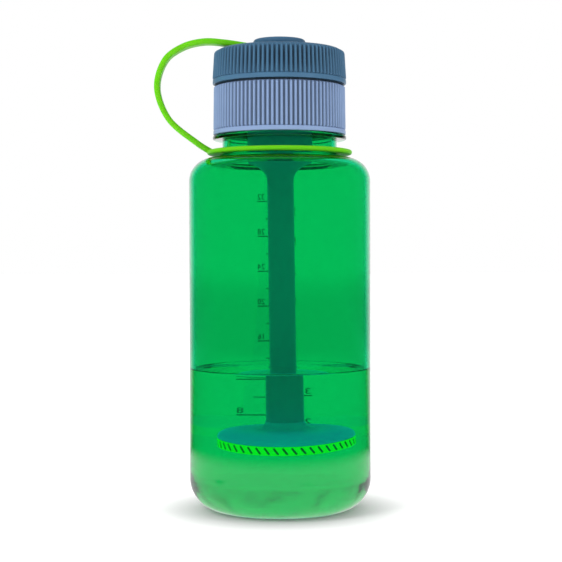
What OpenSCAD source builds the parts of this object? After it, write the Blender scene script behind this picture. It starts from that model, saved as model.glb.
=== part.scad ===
/* [Bottle] */
// Outer radius of the bottle's straight side
body_r = 46.75; // [38:0.25:60]
// Height of the bottle's shoulder, where it meets the neck
shoulder_z = 181; // [140:1:240]
// Thickness of the bottle's wall
wall = 2.4; // [1.8:0.1:3]
// Thickness of the bottle's floor
floor_t = 3.5; // [2.5:0.1:6]
// Radius of the rounded corner under the bottle
base_corner = 16; // [8:0.5:20]
// Radius of the rounded shoulder
shoulder_corner = 12; // [6:0.5:14]
// Inner radius of the flat ring that the bottle stands on
foot_inner_r = 20; // [12:0.5:24]
// Rise of the underside within that ring
foot_rise = 1.2; // [0.5:0.1:2]

/* [Neck] */
// Radius of the hole through the neck
neck_bore = 27.2; // [26:0.1:28]
// Outer radius of the plain neck under the bead
neck_r = 29.5; // [29:0.1:29.8]
// Height of the plain neck, where the tether's ring turns
neck_plain_h = 9.2; // [7:0.1:12]
// Outer radius of the bead above the plain neck
bead_r = 34.5; // [33:0.1:35]
// Thickness of the bead
bead_t = 2.2; // [1.5:0.1:3]
// Outer radius of the neck behind its thread
neck_core_r = 30.1; // [29.6:0.1:30.3]
// Height of the threaded neck above the bead
neck_thread_h = 13.6; // [12:0.1:16]

/* [Threads] */
// Rise of both screw threads in one turn
pitch = 4.5; // [4:0.1:5]
// Length of each thread ridge in turns
thread_turns = 1.25; // [1:0.05:1.5]
// Depth of the thread ridges
thread_depth = 1.3; // [1:0.05:1.4]
// Width of a thread ridge at its root
thread_root_w = 2; // [1.6:0.1:2.2]
// Width of a thread ridge at its crest
thread_crest_w = 1; // [0.6:0.1:1.2]
// Gap between a thread's crest and the wall it faces
thread_gap = 0.35; // [0.3:0.05:0.5]

/* [Collar] */
// Height of the ribbed collar
collar_h = 25.2; // [24:0.1:28]
// Outer radius of the collar over its ribs
collar_r = 33.9; // [33.9:0.1:35]
// Gap between the bead and the collar's lower edge
collar_gap = 0.4; // [0.3:0.1:1]
// Thickness of the collar's top plate and of its gasket seat
collar_plate_t = 2.2; // [1.8:0.1:2.6]
// Inner radius of the upright spigot that the lid screws onto
spigot_bore = 27.6; // [27.4:0.1:27.8]
// Outer radius of the spigot behind its thread
spigot_r = 29.5; // [29.3:0.1:29.7]
// Height of the spigot above the collar
spigot_h = 14.4; // [13.5:0.1:14.5]
// Inner radius of the ledge that carries the deck
seat_bore = 26; // [25.6:0.1:26.4]

/* [Lid] */
// Height of the ribbed lid
lid_h = 17.9; // [17.9:0.1:20]
// Outer radius of the lid over its ribs
lid_r = 34.2; // [34:0.1:35.5]
// Gap between lid and collar, filled by the lid's gasket
lid_gap = 0.8; // [0.7:0.1:1.2]
// Radius of the lid's rounded top edge
lid_corner = 3; // [2:0.5:4]
// Thickness of the lid's top
lid_top_t = 2.4; // [2:0.1:2.6]
// Radius of the knob's head
knob_r = 13.45; // [11:0.05:16]
// Thickness of the knob's head
knob_t = 2.7; // [2.4:0.1:4]
// Radius of the knob's neck
knob_neck_r = 6.8; // [6:0.1:7.5]
// Radius of the knob's stud in the lid
knob_stud_r = 4.6; // [4:0.1:5]

/* [Grip ribs] */
// Number of ribs round the collar and round the lid
rib_count = 90; // [60:1:110]
// Depth of the grooves between ribs
rib_depth = 0.55; // [0.3:0.05:0.7]
// Share of each rib's step that stands proud
rib_share = 0.5; // [0.4:0.05:0.6]
// Height of the plain band under the ribs
rib_band_h = 2.2; // [1.5:0.1:3]
// How far the ribs stay behind the plain band
rib_relief = 0.1; // [0.05:0.05:0.2]

/* [Tether] */
// Width of the flat strap
strap_w = 8; // [6:0.5:10]
// Thickness of the flat strap
strap_t = 3; // [2:0.1:3.4]
// Outer radius of the ring round the neck
neck_ring_r = 37.4; // [36.4:0.1:38]
// Thickness of the ring round the neck
neck_ring_t = 2.4; // [2:0.1:4]
// Gap between the neck's ring and the shoulder
neck_ring_gap = 1.6; // [0.4:0.1:2]
// Reach of the strap's loop from the bottle's axis
loop_reach = 63; // [58:1:80]
// Outer radius of the ring under the knob
cap_ring_r = 11.6; // [10.5:0.1:12]
// Thickness of the ring under the knob
cap_ring_t = 2; // [1.6:0.1:2.4]

/* [Stem] */
// Outer radius of the stem's tube at its thin upper end
stem_r = 6.85; // [6:0.05:8]
// Growth of the tube's radius down to its foot
stem_draft = 0.15; // [0.05:0.05:0.8]
// Radius of the airway through the stem
airway_r = 4.8; // [4:0.1:5]
// Outer radius of the cup at the stem's top
cup_r = 16.8; // [16.6:0.1:17]
// Thickness of the cup's wall
cup_wall = 1.5; // [1.3:0.1:1.6]
// Height of the cup's straight wall
cup_h = 26.5; // [22:0.5:30]
// Height of the flare between tube and cup
flare_h = 14; // [10:1:16]
// Gap above the cup, which lets the stem hang at a lean
cup_gap = 1.5; // [1.2:0.1:2]
// Lean of the stem towards the bottle's back in degrees
lean_back = 4; // [0:0.5:4]
// Lean of the stem away from the strap in degrees
lean_side = 0.65; // [0:0.05:1]
// Height of the diffuser's lower face above the bottle's foot
diffuser_z = 30.8; // [26:0.2:50]

/* [Diffuser] */
// Outer radius of the slotted pan and of the dome
diffuser_r = 24.4; // [22:0.1:26.4]
// Height of the slotted rim
pan_h = 4.3; // [4:0.1:6]
// Thickness of the pan's floor
pan_floor_t = 0.8; // [0.6:0.1:1]
// Thickness of the slotted rim
pan_wall = 1.8; // [1.4:0.1:2.4]
// Number of slots in the rim
slot_count = 38; // [24:1:44]
// Width of each slot
slot_w = 1; // [0.6:0.1:1.6]
// Height of each slot
slot_h = 2.5; // [2:0.1:2.6]
// Slant of each slot from upright in degrees
slot_slant = 28; // [0:1:35]
// Thickness of the dome's edge
dome_edge_t = 4; // [3.4:0.1:5]
// Radius of the dome's rounded edge
dome_corner = 3.4; // [1.5:0.1:3.6]
// Rise of the dome from its edge to the stem's fillet
dome_rise = 1.8; // [0.5:0.1:4]
// Radius of the fillet between dome and stem socket
dome_fillet = 4; // [3:0.5:6]
// Thickness of the dome's shell
dome_skin = 1.4; // [1:0.1:1.6]
// Thickness of the thin lip where the fillet meets the stem
dome_lip = 0.4; // [0.3:0.05:0.6]

/* [Deck and mouthpiece] */
// Thickness of the deck
deck_t = 3; // [2.6:0.1:3.4]
// Length of the deck's skirt inside the stem's cup
skirt_h = 9; // [8:0.5:12]
// Outer radius of that skirt
skirt_r = 14.3; // [14.1:0.1:14.4]
// Thickness of the O-ring between skirt and cup
oring_t = 1.9; // [1.7:0.1:2]
// Distance of the mouthpiece from the bottle's axis
spout_offset = 21.7; // [21.5:0.1:21.8]
// Radius of the passage through the mouthpiece
spout_bore = 3.3; // [2.6:0.1:3.3]
// Height of the mouthpiece above the deck
spout_h = 17.4; // [14:0.1:18]
// Outer radius of the mouthpiece
spout_r = 4.7; // [4.4:0.1:4.7]

/* [Bowl] */
// Outer radius of the bowl's shank
bowl_shank_r = 8.6; // [8:0.1:9]
// Outer radius of the bowl's rim
bowl_rim_r = 14.2; // [12:0.1:14.6]
// Height of the bowl above its sleeve
bowl_h = 7.4; // [6:0.1:8]
// Depth of the bowl's shank in its sleeve
bowl_shank_h = 12; // [10:0.5:13]
// Thickness of the bowl's wall
bowl_wall = 1.8; // [1.4:0.1:2.2]
// Thickness of the sleeve's tube
sleeve_wall = 1.6; // [1.2:0.1:1.8]
// Thickness of the screen
screen_t = 0.4; // [0.3:0.1:0.6]
// Radius of the hole in the bowl's floor
bowl_hole_r = 3; // [2:0.1:4]

/* [Fits] */
// Radial gap of a piece that turns or slides by hand
slip = 0.4; // [0.35:0.05:0.5]
// Radial gap of an O-ring or lip that rubs
rub = 0.06; // [0.04:0.01:0.1]
// Gap between pieces that are pressed or bonded together
bond = 0.03; // [0.02:0.01:0.05]
// Gap between a gasket and the face it seals
seal_gap = 0.3; // [0.3:0.05:0.5]
// Gap above and below the lid's gasket
gasket_gap = 0.2; // [0.15:0.05:0.25]

/* [Hidden] */
$fn = 96;

// Bottle heights, from the table up
bore_r = body_r - wall;
neck_z = shoulder_z;
bead_z = neck_z + neck_plain_h;
thread_z = bead_z + bead_t;
rim_z = thread_z + neck_thread_h;
inner_corner = base_corner - wall;
inner_shoulder = shoulder_corner - wall;
thread_start = thread_z + 3.2;
bead_edge = bead_t / 2 - 0.1;

// Collar heights
collar_z = thread_z + collar_gap;
collar_top = collar_z + collar_h;
collar_bore = neck_core_r + thread_depth + thread_gap;
gasket_t = 1.5;
seat_z = rim_z + seal_gap + gasket_t;
deck_z = seat_z + collar_plate_t;
spigot_top = collar_top + spigot_h;

// Lid heights
lid_z = collar_top + lid_gap;
lid_top = lid_z + lid_h;
lid_ceiling = lid_top - lid_top_t;
lid_bore = spigot_r + thread_depth + thread_gap;
liner_t = lid_ceiling - spigot_top - seal_gap;
lid_thread_start = collar_top + 3.6;
knob_base = lid_top + cap_ring_t + 2 * 0.25;
knob_edge = 1.2;

// Stem heights
deck_top = deck_z + deck_t;
cup_bore = cup_r - cup_wall;
cup_top = deck_z - cup_gap;
cup_base = cup_top - cup_h;
tube_top = cup_base - flare_h;
pan_top = diffuser_z + pan_h;
dome_edge = pan_top + dome_edge_t;
dome_top = dome_edge + dome_rise + dome_fillet;
socket_r = stem_r + stem_draft;
tube_foot = dome_edge;
oring_groove = cup_bore - rub - oring_t;
oring_z = deck_z - skirt_h / 2 - 0.5;

// Bowl heights
sleeve_bore = bowl_shank_r + rub;
sleeve_r = sleeve_bore + sleeve_wall;
sleeve_flange_t = 1.5;
bowl_seat = deck_top + sleeve_flange_t + 0.1;
bowl_floor_t = 1.6;
bowl_bottom = bowl_seat - bowl_shank_h;
bowl_rim_z = bowl_seat + bowl_h;

// A ridge of a screw thread: a tapered bar swept along a helix, fading out at both ends.
// dir is 1 for a ridge outside a wall and -1 for one inside a bore.
module thread_ridge(wall_r, dir, z, start) {
    steps = 44;
    root = 0.25;
    function grow(i) = max(0.12, min(1, 6 * min(i, steps - i) / steps));
    function ring(i) = let (
        a = start + 360 * thread_turns * i / steps,
        g = grow(i),
        zc = z + pitch * thread_turns * i / steps,
        crest = wall_r + dir * thread_depth * g,
        base = wall_r - dir * root,
        hr = thread_root_w / 2 + root * (thread_root_w - thread_crest_w) / (2 * thread_depth),
        hc = thread_root_w / 2 - g * (thread_root_w - thread_crest_w) / 2
    ) [
        [base * cos(a), base * sin(a), zc - hr],
        [crest * cos(a), crest * sin(a), zc - hc],
        [crest * cos(a), crest * sin(a), zc + hc],
        [base * cos(a), base * sin(a), zc + hr]
    ];
    points = [for (i = [0 : steps]) each ring(i)];
    sides = [for (i = [0 : steps - 1], k = [0 : 3]) each
        let (a = 4 * i + k, b = 4 * i + (k + 1) % 4, c = b + 4, d = a + 4) [[a, b, c], [a, c, d]]];
    ends = [[3, 2, 1], [3, 1, 0], [4 * steps, 4 * steps + 1, 4 * steps + 2],
        [4 * steps, 4 * steps + 2, 4 * steps + 3]];
    faces = concat(sides, ends);
    polyhedron(points, dir > 0 ? faces : [for (f = faces) [f[2], f[1], f[0]]]);
}

// A quarter arc in an outline, from one angle to another about a centre
function arc(cx, cz, r, from, to, n = 12) =
    [for (i = [0 : n]) [cx + r * cos(from + (to - from) * i / n), cz + r * sin(from + (to - from) * i / n)]];

// An upright ribbed wall, cut from a ring: ribs outside, a round bore inside
module rib_wall(outer, inner, z, h) {
    step = 360 / rib_count;
    lead = step * rib_share / 2;
    groove = outer - rib_depth - 0.25;
    outline = [for (i = [0 : rib_count - 1]) each [
        [groove * cos(i * step - step / 2 + lead * 0.9), groove * sin(i * step - step / 2 + lead * 0.9)],
        [outer * cos(i * step - lead), outer * sin(i * step - lead)],
        [outer * cos(i * step + lead), outer * sin(i * step + lead)],
        [groove * cos(i * step + step / 2 - lead * 0.9), groove * sin(i * step + step / 2 - lead * 0.9)]
    ]];
    translate([0, 0, z]) linear_extrude(h) difference() {
        polygon(outline);
        circle(inner);
    }
}

// A round ring of circular section
module o_ring(inner, section, z) {
    translate([0, 0, z]) rotate_extrude() translate([inner + section / 2, 0]) circle(section / 2, $fn = 32);
}

// A flat washer
module washer(inner, outer, z, t) {
    translate([0, 0, z]) rotate_extrude() translate([inner, 0]) square([outer - inner, t]);
}

// ---- bottle ----

module bottle_body() color([0.05, 0.72, 0.38, 0.6]) union() {
    side_x = body_r - shoulder_corner;
    rotate_extrude() polygon(concat(
        [[0, foot_rise], [foot_inner_r - 2, foot_rise], [foot_inner_r, 0]],
        arc(body_r - base_corner, base_corner, base_corner, -90, 0, 18),
        arc(side_x, shoulder_z - shoulder_corner, shoulder_corner, 0, 90, 16),
        [[neck_r + 1, neck_z], [neck_r, neck_z + 1], [neck_r, bead_z]],
        [[bead_r - bead_edge, bead_z], [bead_r, bead_z + bead_edge]],
        [[bead_r, thread_z - bead_edge], [bead_r - bead_edge, thread_z], [neck_core_r, thread_z]],
        [[neck_core_r, rim_z - 0.6], [neck_core_r - 0.6, rim_z], [neck_bore, rim_z]],
        [[neck_bore, neck_z - wall + 2], [neck_bore + 2, neck_z - wall]],
        arc(side_x, shoulder_z - shoulder_corner, inner_shoulder, 90, 0, 16),
        arc(bore_r - inner_corner, floor_t + inner_corner, inner_corner, 0, -90, 18),
        [[0, floor_t]]
    ));
    thread_ridge(neck_core_r, 1, thread_start, 0);
}

// ---- collar ----

module neck_gasket() color([0.85, 0.87, 0.9])
    washer(neck_bore, neck_core_r, rim_z + seal_gap, gasket_t - bond);

module collar_shell() color([0.53, 0.59, 0.77]) {
    groove = collar_r - rib_depth;
    roof = collar_top - collar_plate_t;
    seat_edge = neck_core_r + 0.3;
    rotate_extrude() polygon([
        [collar_bore, collar_z], [collar_r, collar_z], [collar_r, collar_z + rib_band_h],
        [groove, collar_z + rib_band_h], [groove, collar_top], [spigot_r, collar_top],
        [spigot_r, spigot_top - 0.6], [spigot_r - 0.6, spigot_top], [spigot_bore, spigot_top],
        [spigot_bore, deck_z], [seat_bore, deck_z], [seat_bore, seat_z],
        [seat_edge, seat_z], [seat_edge, roof], [collar_bore, roof]
    ]);
    rib_wall(collar_r - rib_relief, groove - 0.4, collar_z + rib_band_h / 2, collar_h - rib_band_h / 2 - 0.5);
    thread_ridge(collar_bore, -1, thread_start + pitch / 2, 0);
    thread_ridge(spigot_r, 1, lid_thread_start, 0);
}

module collar_deck() color([0.36, 0.45, 0.62]) difference() {
    rotate_extrude() polygon([
        [sleeve_r + bond, deck_z - skirt_h], [skirt_r - 0.4, deck_z - skirt_h], [skirt_r, deck_z - skirt_h + 0.4],
        [skirt_r, oring_z - oring_t / 2 - 0.2], [oring_groove, oring_z - oring_t / 2 - 0.2],
        [oring_groove, oring_z + oring_t / 2 + 0.2], [skirt_r, oring_z + oring_t / 2 + 0.2],
        [skirt_r, deck_z], [spigot_bore - bond, deck_z], [spigot_bore - bond, deck_top],
        [sleeve_r + bond, deck_top]
    ]);
    translate([0, -spout_offset, deck_z - 1]) cylinder(h = deck_t + 2, r = spout_bore + 0.7);
}

module mouthpiece_seal() color([0.8, 0.85, 0.9])
    translate([0, -spout_offset, deck_top + bond]) rotate_extrude()
        translate([spout_bore, 0]) square([spout_r - spout_bore, 1.2 - 2 * bond]);

module mouthpiece() color([0.36, 0.45, 0.62])
    translate([0, -spout_offset, 0]) rotate_extrude() polygon([
        [spout_bore, deck_top + 1.2], [spout_r, deck_top + 1.2], [spout_r, deck_top + 3.2],
        [spout_r - 0.6, deck_top + 4], [spout_r - 0.6, deck_top + spout_h - 3], [spout_r, deck_top + spout_h - 1.8],
        [spout_r, deck_top + spout_h - 0.6], [spout_r - 0.6, deck_top + spout_h], [spout_bore, deck_top + spout_h]
    ]);

// ---- bowl ----

module bowl_sleeve() color([0.75, 0.8, 0.86]) rotate_extrude() polygon([
    [sleeve_bore, deck_z - skirt_h], [sleeve_r, deck_z - skirt_h], [sleeve_r, deck_top + bond],
    [skirt_r, deck_top + bond], [skirt_r, deck_top + sleeve_flange_t], [sleeve_bore, deck_top + sleeve_flange_t]
]);

module bowl() color([0.93, 0.93, 0.91]) {
    inner = bowl_shank_r - bowl_wall;
    rotate_extrude() polygon([
        [bowl_hole_r, bowl_bottom], [bowl_shank_r - 0.5, bowl_bottom], [bowl_shank_r, bowl_bottom + 0.5],
        [bowl_shank_r, bowl_seat], [bowl_rim_r - 2.4, bowl_seat], [bowl_rim_r, bowl_rim_z - 1.4],
        [bowl_rim_r, bowl_rim_z - 0.6], [bowl_rim_r - 0.6, bowl_rim_z], [bowl_rim_r - bowl_wall, bowl_rim_z],
        [inner, bowl_seat - 1], [inner, bowl_bottom + bowl_floor_t], [bowl_hole_r, bowl_bottom + bowl_floor_t]
    ]);
}

module bowl_screen() color([0.7, 0.7, 0.72]) difference() {
    translate([0, 0, bowl_bottom + bowl_floor_t + bond])
        cylinder(h = screen_t, r = bowl_shank_r - bowl_wall - bond);
    for (i = [0 : 5]) rotate(i * 60) translate([1.8, 0, bowl_bottom]) cylinder(h = bowl_floor_t + 2, r = 0.5);
    translate([0, 0, bowl_bottom]) cylinder(h = bowl_floor_t + 2, r = 0.5);
}

// ---- stem and diffuser ----

// What hangs from the deck's O-ring leans about the O-ring's centre
module lean() {
    translate([0, 0, oring_z]) rotate([lean_back, -lean_side, 0]) translate([0, 0, -oring_z]) children();
}

// The trumpet between the tube and the cup, from radius a at its foot to radius b at its top
function flare(a, b, lift, n = 12) = [for (i = [1 : n]) let (u = i / n)
    [a + (b - a) * pow(u, 2.4), tube_top + lift + flare_h * u]];
function back_to_front(list) = [for (i = [len(list) - 1 : -1 : 0]) list[i]];

module stem_tube() color([0.45, 0.53, 0.72]) lean() rotate_extrude() polygon(concat(
    [[airway_r, tube_foot], [socket_r, tube_foot], [stem_r, tube_top]],
    flare(stem_r, cup_r, 0),
    [[cup_r, cup_top], [cup_bore, cup_top]],
    back_to_front(flare(airway_r, cup_bore, cup_wall)),
    [[airway_r, tube_top + cup_wall]]
));

module stem_seal() color([0.8, 0.85, 0.9]) o_ring(oring_groove, oring_t, oring_z);

module diffuser_dome() color([0.5, 0.6, 0.78]) lean() {
    hub = socket_r + bond;
    hub_out = hub + dome_skin;
    under = dome_edge - dome_skin;
    rim_in = diffuser_r - pan_wall - 1.6 - slip;
    fillet_r = hub + dome_lip + dome_fillet;
    seat = pan_top + bond;
    rotate_extrude() polygon(concat(
        [[airway_r, under - 1], [hub_out, under - 1], [hub_out, under + dome_rise],
            [rim_in - 3, under], [rim_in, seat], [diffuser_r - 0.2, seat]],
        arc(diffuser_r - dome_corner, dome_edge - dome_corner, dome_corner, 0, 90, 8),
        [[fillet_r + 4, dome_edge + 0.7 * dome_rise]],
        arc(fillet_r, dome_top, dome_fillet, 270, 180, 8),
        [[hub, dome_top], [hub, tube_foot - bond], [airway_r, tube_foot - bond]]
    ));
}

module diffuser_pan() color([0.35, 0.85, 0.15]) lean() difference() {
    lip_r = diffuser_r - pan_wall - 1.6;
    rotate_extrude() polygon([
        [0, diffuser_z], [diffuser_r - 0.8, diffuser_z], [diffuser_r, diffuser_z + 0.8],
        [diffuser_r, pan_top - 0.2], [diffuser_r - 0.2, pan_top], [lip_r, pan_top],
        [lip_r, pan_top - 0.9], [diffuser_r - pan_wall, pan_top - 0.9],
        [diffuser_r - pan_wall, diffuser_z + pan_floor_t], [0, diffuser_z + pan_floor_t]
    ]);
    for (i = [0 : slot_count - 1]) rotate(i * 360 / slot_count)
        translate([diffuser_r - pan_wall / 2, 0, diffuser_z + pan_floor_t + 0.2 + slot_h / 2])
            rotate([slot_slant, 0, 0]) cube([pan_wall + 2, slot_w, slot_h / cos(slot_slant) - slot_w * tan(slot_slant)],
                center = true);
}

// ---- lid ----

module lid_shell() color([0.2, 0.34, 0.46]) {
    groove = lid_r - rib_depth;
    difference() {
        rotate_extrude() polygon(concat(
            [[lid_bore, lid_z], [lid_r, lid_z], [lid_r, lid_z + rib_band_h], [groove, lid_z + rib_band_h]],
            arc(groove - lid_corner, lid_top - lid_corner, lid_corner, 0, 90, 10),
            [[0, lid_top], [0, lid_ceiling], [lid_bore, lid_ceiling]]
        ));
        translate([0, 0, lid_ceiling - 1]) cylinder(h = lid_top_t + 2, r = knob_stud_r + bond);
        translate([0, 0, lid_top - 1]) cylinder(h = 2, r = knob_neck_r + bond);
    }
    rib_wall(lid_r - rib_relief, groove - 0.4, lid_z + rib_band_h / 2, lid_h - rib_band_h / 2 - lid_corner);
    thread_ridge(lid_bore, -1, lid_thread_start + pitch / 2, 0);
}

module lid_liner() color([0.8, 0.85, 0.9])
    translate([0, 0, lid_ceiling - liner_t]) cylinder(h = liner_t - bond, r = lid_bore - 0.6);

module lid_gasket() color([0.75, 0.78, 0.8])
    washer(lid_bore - thread_gap, lid_r - 1, collar_top + gasket_gap, lid_gap - 2 * gasket_gap);

module lid_knob() color([0.2, 0.34, 0.46]) rotate_extrude() polygon(concat(
    [[0, lid_ceiling], [knob_stud_r, lid_ceiling], [knob_stud_r, lid_top - 1 + 0.6],
        [knob_neck_r, lid_top - 1 + 0.6], [knob_neck_r, knob_base], [knob_r - 0.5, knob_base], [knob_r, knob_base + 0.5]],
    arc(knob_r - knob_edge, knob_base + knob_t - knob_edge, knob_edge, 0, 90, 8),
    [[0, knob_base + knob_t]]
));

module knob_seal() color([0.8, 0.85, 0.9])
    washer(knob_stud_r + bond, knob_neck_r - bond, lid_top - 1 + bond, 0.6 - 2 * bond);

// ---- tether ----

// The strap's centre line, as one smooth curve through its turning points: out from the neck's
// ring, up past the collar and back over the lid. Each point is [distance from the axis, height].
ring_mid = neck_z + neck_ring_gap + neck_ring_t / 2;
cap_ring_z = lid_top + 0.25;
strap_exit = cap_ring_z + cap_ring_t / 2;
loop_z = (ring_mid + strap_exit) / 2 + 6;
loop_h = strap_exit - ring_mid;
strap_route = [
    [neck_ring_r - 3, ring_mid],
    [loop_reach - 20, ring_mid + 0.1 * loop_h],
    [loop_reach - 6, ring_mid + 0.32 * loop_h],
    [loop_reach, loop_z],
    [loop_reach - 3.8, strap_exit - 7],
    [(loop_reach + lid_r) / 2 + 1.4, strap_exit + 0.2],
    [lid_r + 4.8, strap_exit + 3],
    [lid_r - 6.2, strap_exit + 2.4],
    [knob_r + 3.2, strap_exit + 0.7],
    [cap_ring_r - 1.4, strap_exit]
];
route_last = len(strap_route) - 1;
function route_at(i) = strap_route[max(0, min(route_last, i))];
function spline(i, t) = let (a = route_at(i - 1), b = route_at(i), c = route_at(i + 1), d = route_at(i + 2))
    0.5 * ((2 * b) + (c - a) * t + (2 * a - 5 * b + 4 * c - d) * t * t + (3 * b - a - 3 * c + d) * t * t * t);
per_leg = 5;
strap_line = [for (i = [0 : route_last - 1], k = [0 : per_leg - 1]) spline(i, k / per_leg), route_at(route_last)];
// The strap parts at the loop's outermost point and again just outside the lid, which lifts
// the length that lies over it
loop_mid = 3 * per_leg;
cap_joint = 6 * per_leg;
strap_gap = 0.4;

// A flat band with eased edges, swept along part of the strap's line in the XZ plane
module band(from, to, trim_start, trim_end) {
    ease = 0.8;
    hw = strap_w / 2;
    ht = strap_t / 2;
    section = [[hw, ht - ease], [hw - ease, ht], [-hw + ease, ht], [-hw, ht - ease],
        [-hw, -ht + ease], [-hw + ease, -ht], [hw - ease, -ht], [hw, -ht + ease]];
    n = len(section);
    function way(i) = let (v = strap_line[min(i + 1, len(strap_line) - 1)] - strap_line[max(i - 1, 0)]) v / norm(v);
    function spot(i) = strap_line[i] + way(i) * (i == from ? trim_start : i == to ? -trim_end : 0);
    points = [for (i = [from : to]) let (p = spot(i), d = way(i)) each
        [for (s = section) [-(p[0] - d[1] * s[1]), s[0], p[1] + d[0] * s[1]]]];
    rings = to - from;
    sides = [for (i = [0 : rings - 1], k = [0 : n - 1]) each
        let (a = n * i + k, b = n * i + (k + 1) % n, c = b + n, d = a + n) [[a, b, c], [a, c, d]]];
    start_cap = [for (k = [1 : n - 2]) [0, k + 1, k]];
    end_cap = [for (k = [1 : n - 2]) [n * rings, n * rings + k, n * rings + k + 1]];
    polyhedron(points, concat(sides, start_cap, end_cap));
}

module tether_lower() color([0.45, 0.85, 0.2]) union() {
    edge = 0.8;
    inner = neck_r + slip + 0.4;
    z = neck_z + neck_ring_gap;
    rotate_extrude() polygon([
        [inner, z + edge], [inner + edge, z], [neck_ring_r - edge, z], [neck_ring_r, z + edge],
        [neck_ring_r, z + neck_ring_t - edge], [neck_ring_r - edge, z + neck_ring_t],
        [inner + edge, z + neck_ring_t], [inner, z + neck_ring_t - edge]
    ]);
    band(0, loop_mid, 0, strap_gap / 2);
}

module tether_upper() color([0.45, 0.85, 0.2])
    band(loop_mid, cap_joint, strap_gap / 2, strap_gap / 2);

module tether_cap_ring() color([0.45, 0.85, 0.2]) union() {
    washer(knob_neck_r + slip, cap_ring_r, cap_ring_z, cap_ring_t);
    difference() {
        band(cap_joint, len(strap_line) - 1, strap_gap / 2, 0);
        translate([0, 0, cap_ring_z + cap_ring_t]) cylinder(h = strap_t * 2, r = knob_r + slip);
        translate([0, 0, cap_ring_z - strap_t * 2]) cylinder(h = strap_t * 2, r = lid_r + slip);
    }
}

bottle_body();
neck_gasket();
collar_shell();
collar_deck();
mouthpiece();
mouthpiece_seal();
bowl_sleeve();
bowl();
bowl_screen();
stem_tube();
stem_seal();
diffuser_dome();
diffuser_pan();
lid_shell();
lid_liner();
lid_gasket();
lid_knob();
knob_seal();
tether_lower();
tether_upper();
tether_cap_ring();
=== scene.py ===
"""A clear green wide-mouth bottle with a ribbed two-stage cap, a lime tether and an inner stem."""

import math
import random

import bmesh
import bpy
import numpy as np
from mathutils import Matrix, Vector


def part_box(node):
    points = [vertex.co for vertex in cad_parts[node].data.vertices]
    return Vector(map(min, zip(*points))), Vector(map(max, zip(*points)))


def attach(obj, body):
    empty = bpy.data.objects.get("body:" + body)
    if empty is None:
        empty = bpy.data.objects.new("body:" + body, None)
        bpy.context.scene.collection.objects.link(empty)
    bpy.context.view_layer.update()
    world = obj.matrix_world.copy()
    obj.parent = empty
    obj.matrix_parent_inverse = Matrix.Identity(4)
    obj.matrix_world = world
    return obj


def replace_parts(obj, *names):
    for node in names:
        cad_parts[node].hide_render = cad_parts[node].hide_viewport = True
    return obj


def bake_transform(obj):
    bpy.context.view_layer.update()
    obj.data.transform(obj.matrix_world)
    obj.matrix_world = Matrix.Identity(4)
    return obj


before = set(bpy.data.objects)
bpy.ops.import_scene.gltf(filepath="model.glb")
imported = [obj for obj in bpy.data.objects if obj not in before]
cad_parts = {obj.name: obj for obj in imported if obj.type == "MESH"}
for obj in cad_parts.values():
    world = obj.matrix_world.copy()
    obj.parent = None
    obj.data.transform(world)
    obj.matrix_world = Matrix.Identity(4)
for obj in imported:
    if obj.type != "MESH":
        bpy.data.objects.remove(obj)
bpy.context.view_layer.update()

MM = 0.001
TURN = 2 * math.pi


# ---------------------------------------------------------------- sizes, in millimetres

def span(node):
    """Outer radius, lowest and highest height of a CAD node that is round about the axis."""
    low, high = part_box(node)
    return high.x / MM, low.z / MM, high.z / MM


body_r, _, rim_z = span("bottle_body")
collar_r, collar_z, spigot_top = span("collar_shell")
lid_r, lid_z, lid_top = span("lid_shell")
knob_r, lid_ceiling, knob_top = span("lid_knob")
neck_ring_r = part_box("tether_lower")[1].x / MM
neck_ring_z = min(v.co.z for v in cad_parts["tether_lower"].data.vertices if v.co.x > 0) / MM

# The stem and all that it carries lean about the middle of the deck's O-ring
LEAN_BACK = 4.0
LEAN_SIDE = 0.65
pivot = sum(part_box("stem_seal"), Vector()) / 2
lean = (Matrix.Translation(pivot) @ Matrix.Rotation(math.radians(-LEAN_SIDE), 4, "Y")
        @ Matrix.Rotation(math.radians(LEAN_BACK), 4, "X") @ Matrix.Translation(-pivot))


def leaning_span(node):
    """The same three sizes of a CAD node that leans with the stem, measured along the stem's own axis."""
    upright = [lean.inverted() @ v.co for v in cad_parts[node].data.vertices]
    return (max(math.hypot(p.x, p.y) for p in upright) / MM,
            min(p.z for p in upright) / MM, max(p.z for p in upright) / MM)


cup_r, stem_foot, cup_top = leaning_span("stem_tube")
diffuser_r, diffuser_z, pan_top = leaning_span("diffuser_pan")
_, _, dome_top = leaning_span("diffuser_dome")

WALL = 2.4
FLOOR = 3.5
BASE_CORNER = 16
SHOULDER_CORNER = 12
NECK_THREAD_H = 13.6
BEAD_T = 2.2
NECK_PLAIN_H = 9.2
NECK_R = 29.5
NECK_CORE_R = 30.1
NECK_BORE = 27.2
BEAD_R = 34.5
PITCH = 4.5
THREAD_TURNS = 1.25
THREAD_DEPTH = 1.3
RIB_COUNT = 90
RIB_DEPTH = 0.95
RIB_BAND = 2.2
SPIGOT_R = 29.5
SPIGOT_BORE = 27.6
SPIGOT_H = 14.4
NECK_THREAD_START = 3.2
LID_THREAD_START = 3.6
TETHER_RING_T = 2.4

thread_z = rim_z - NECK_THREAD_H
bead_z = thread_z - BEAD_T
neck_z = bead_z - NECK_PLAIN_H
collar_top = spigot_top - SPIGOT_H


# ---------------------------------------------------------------- mesh tools

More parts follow.
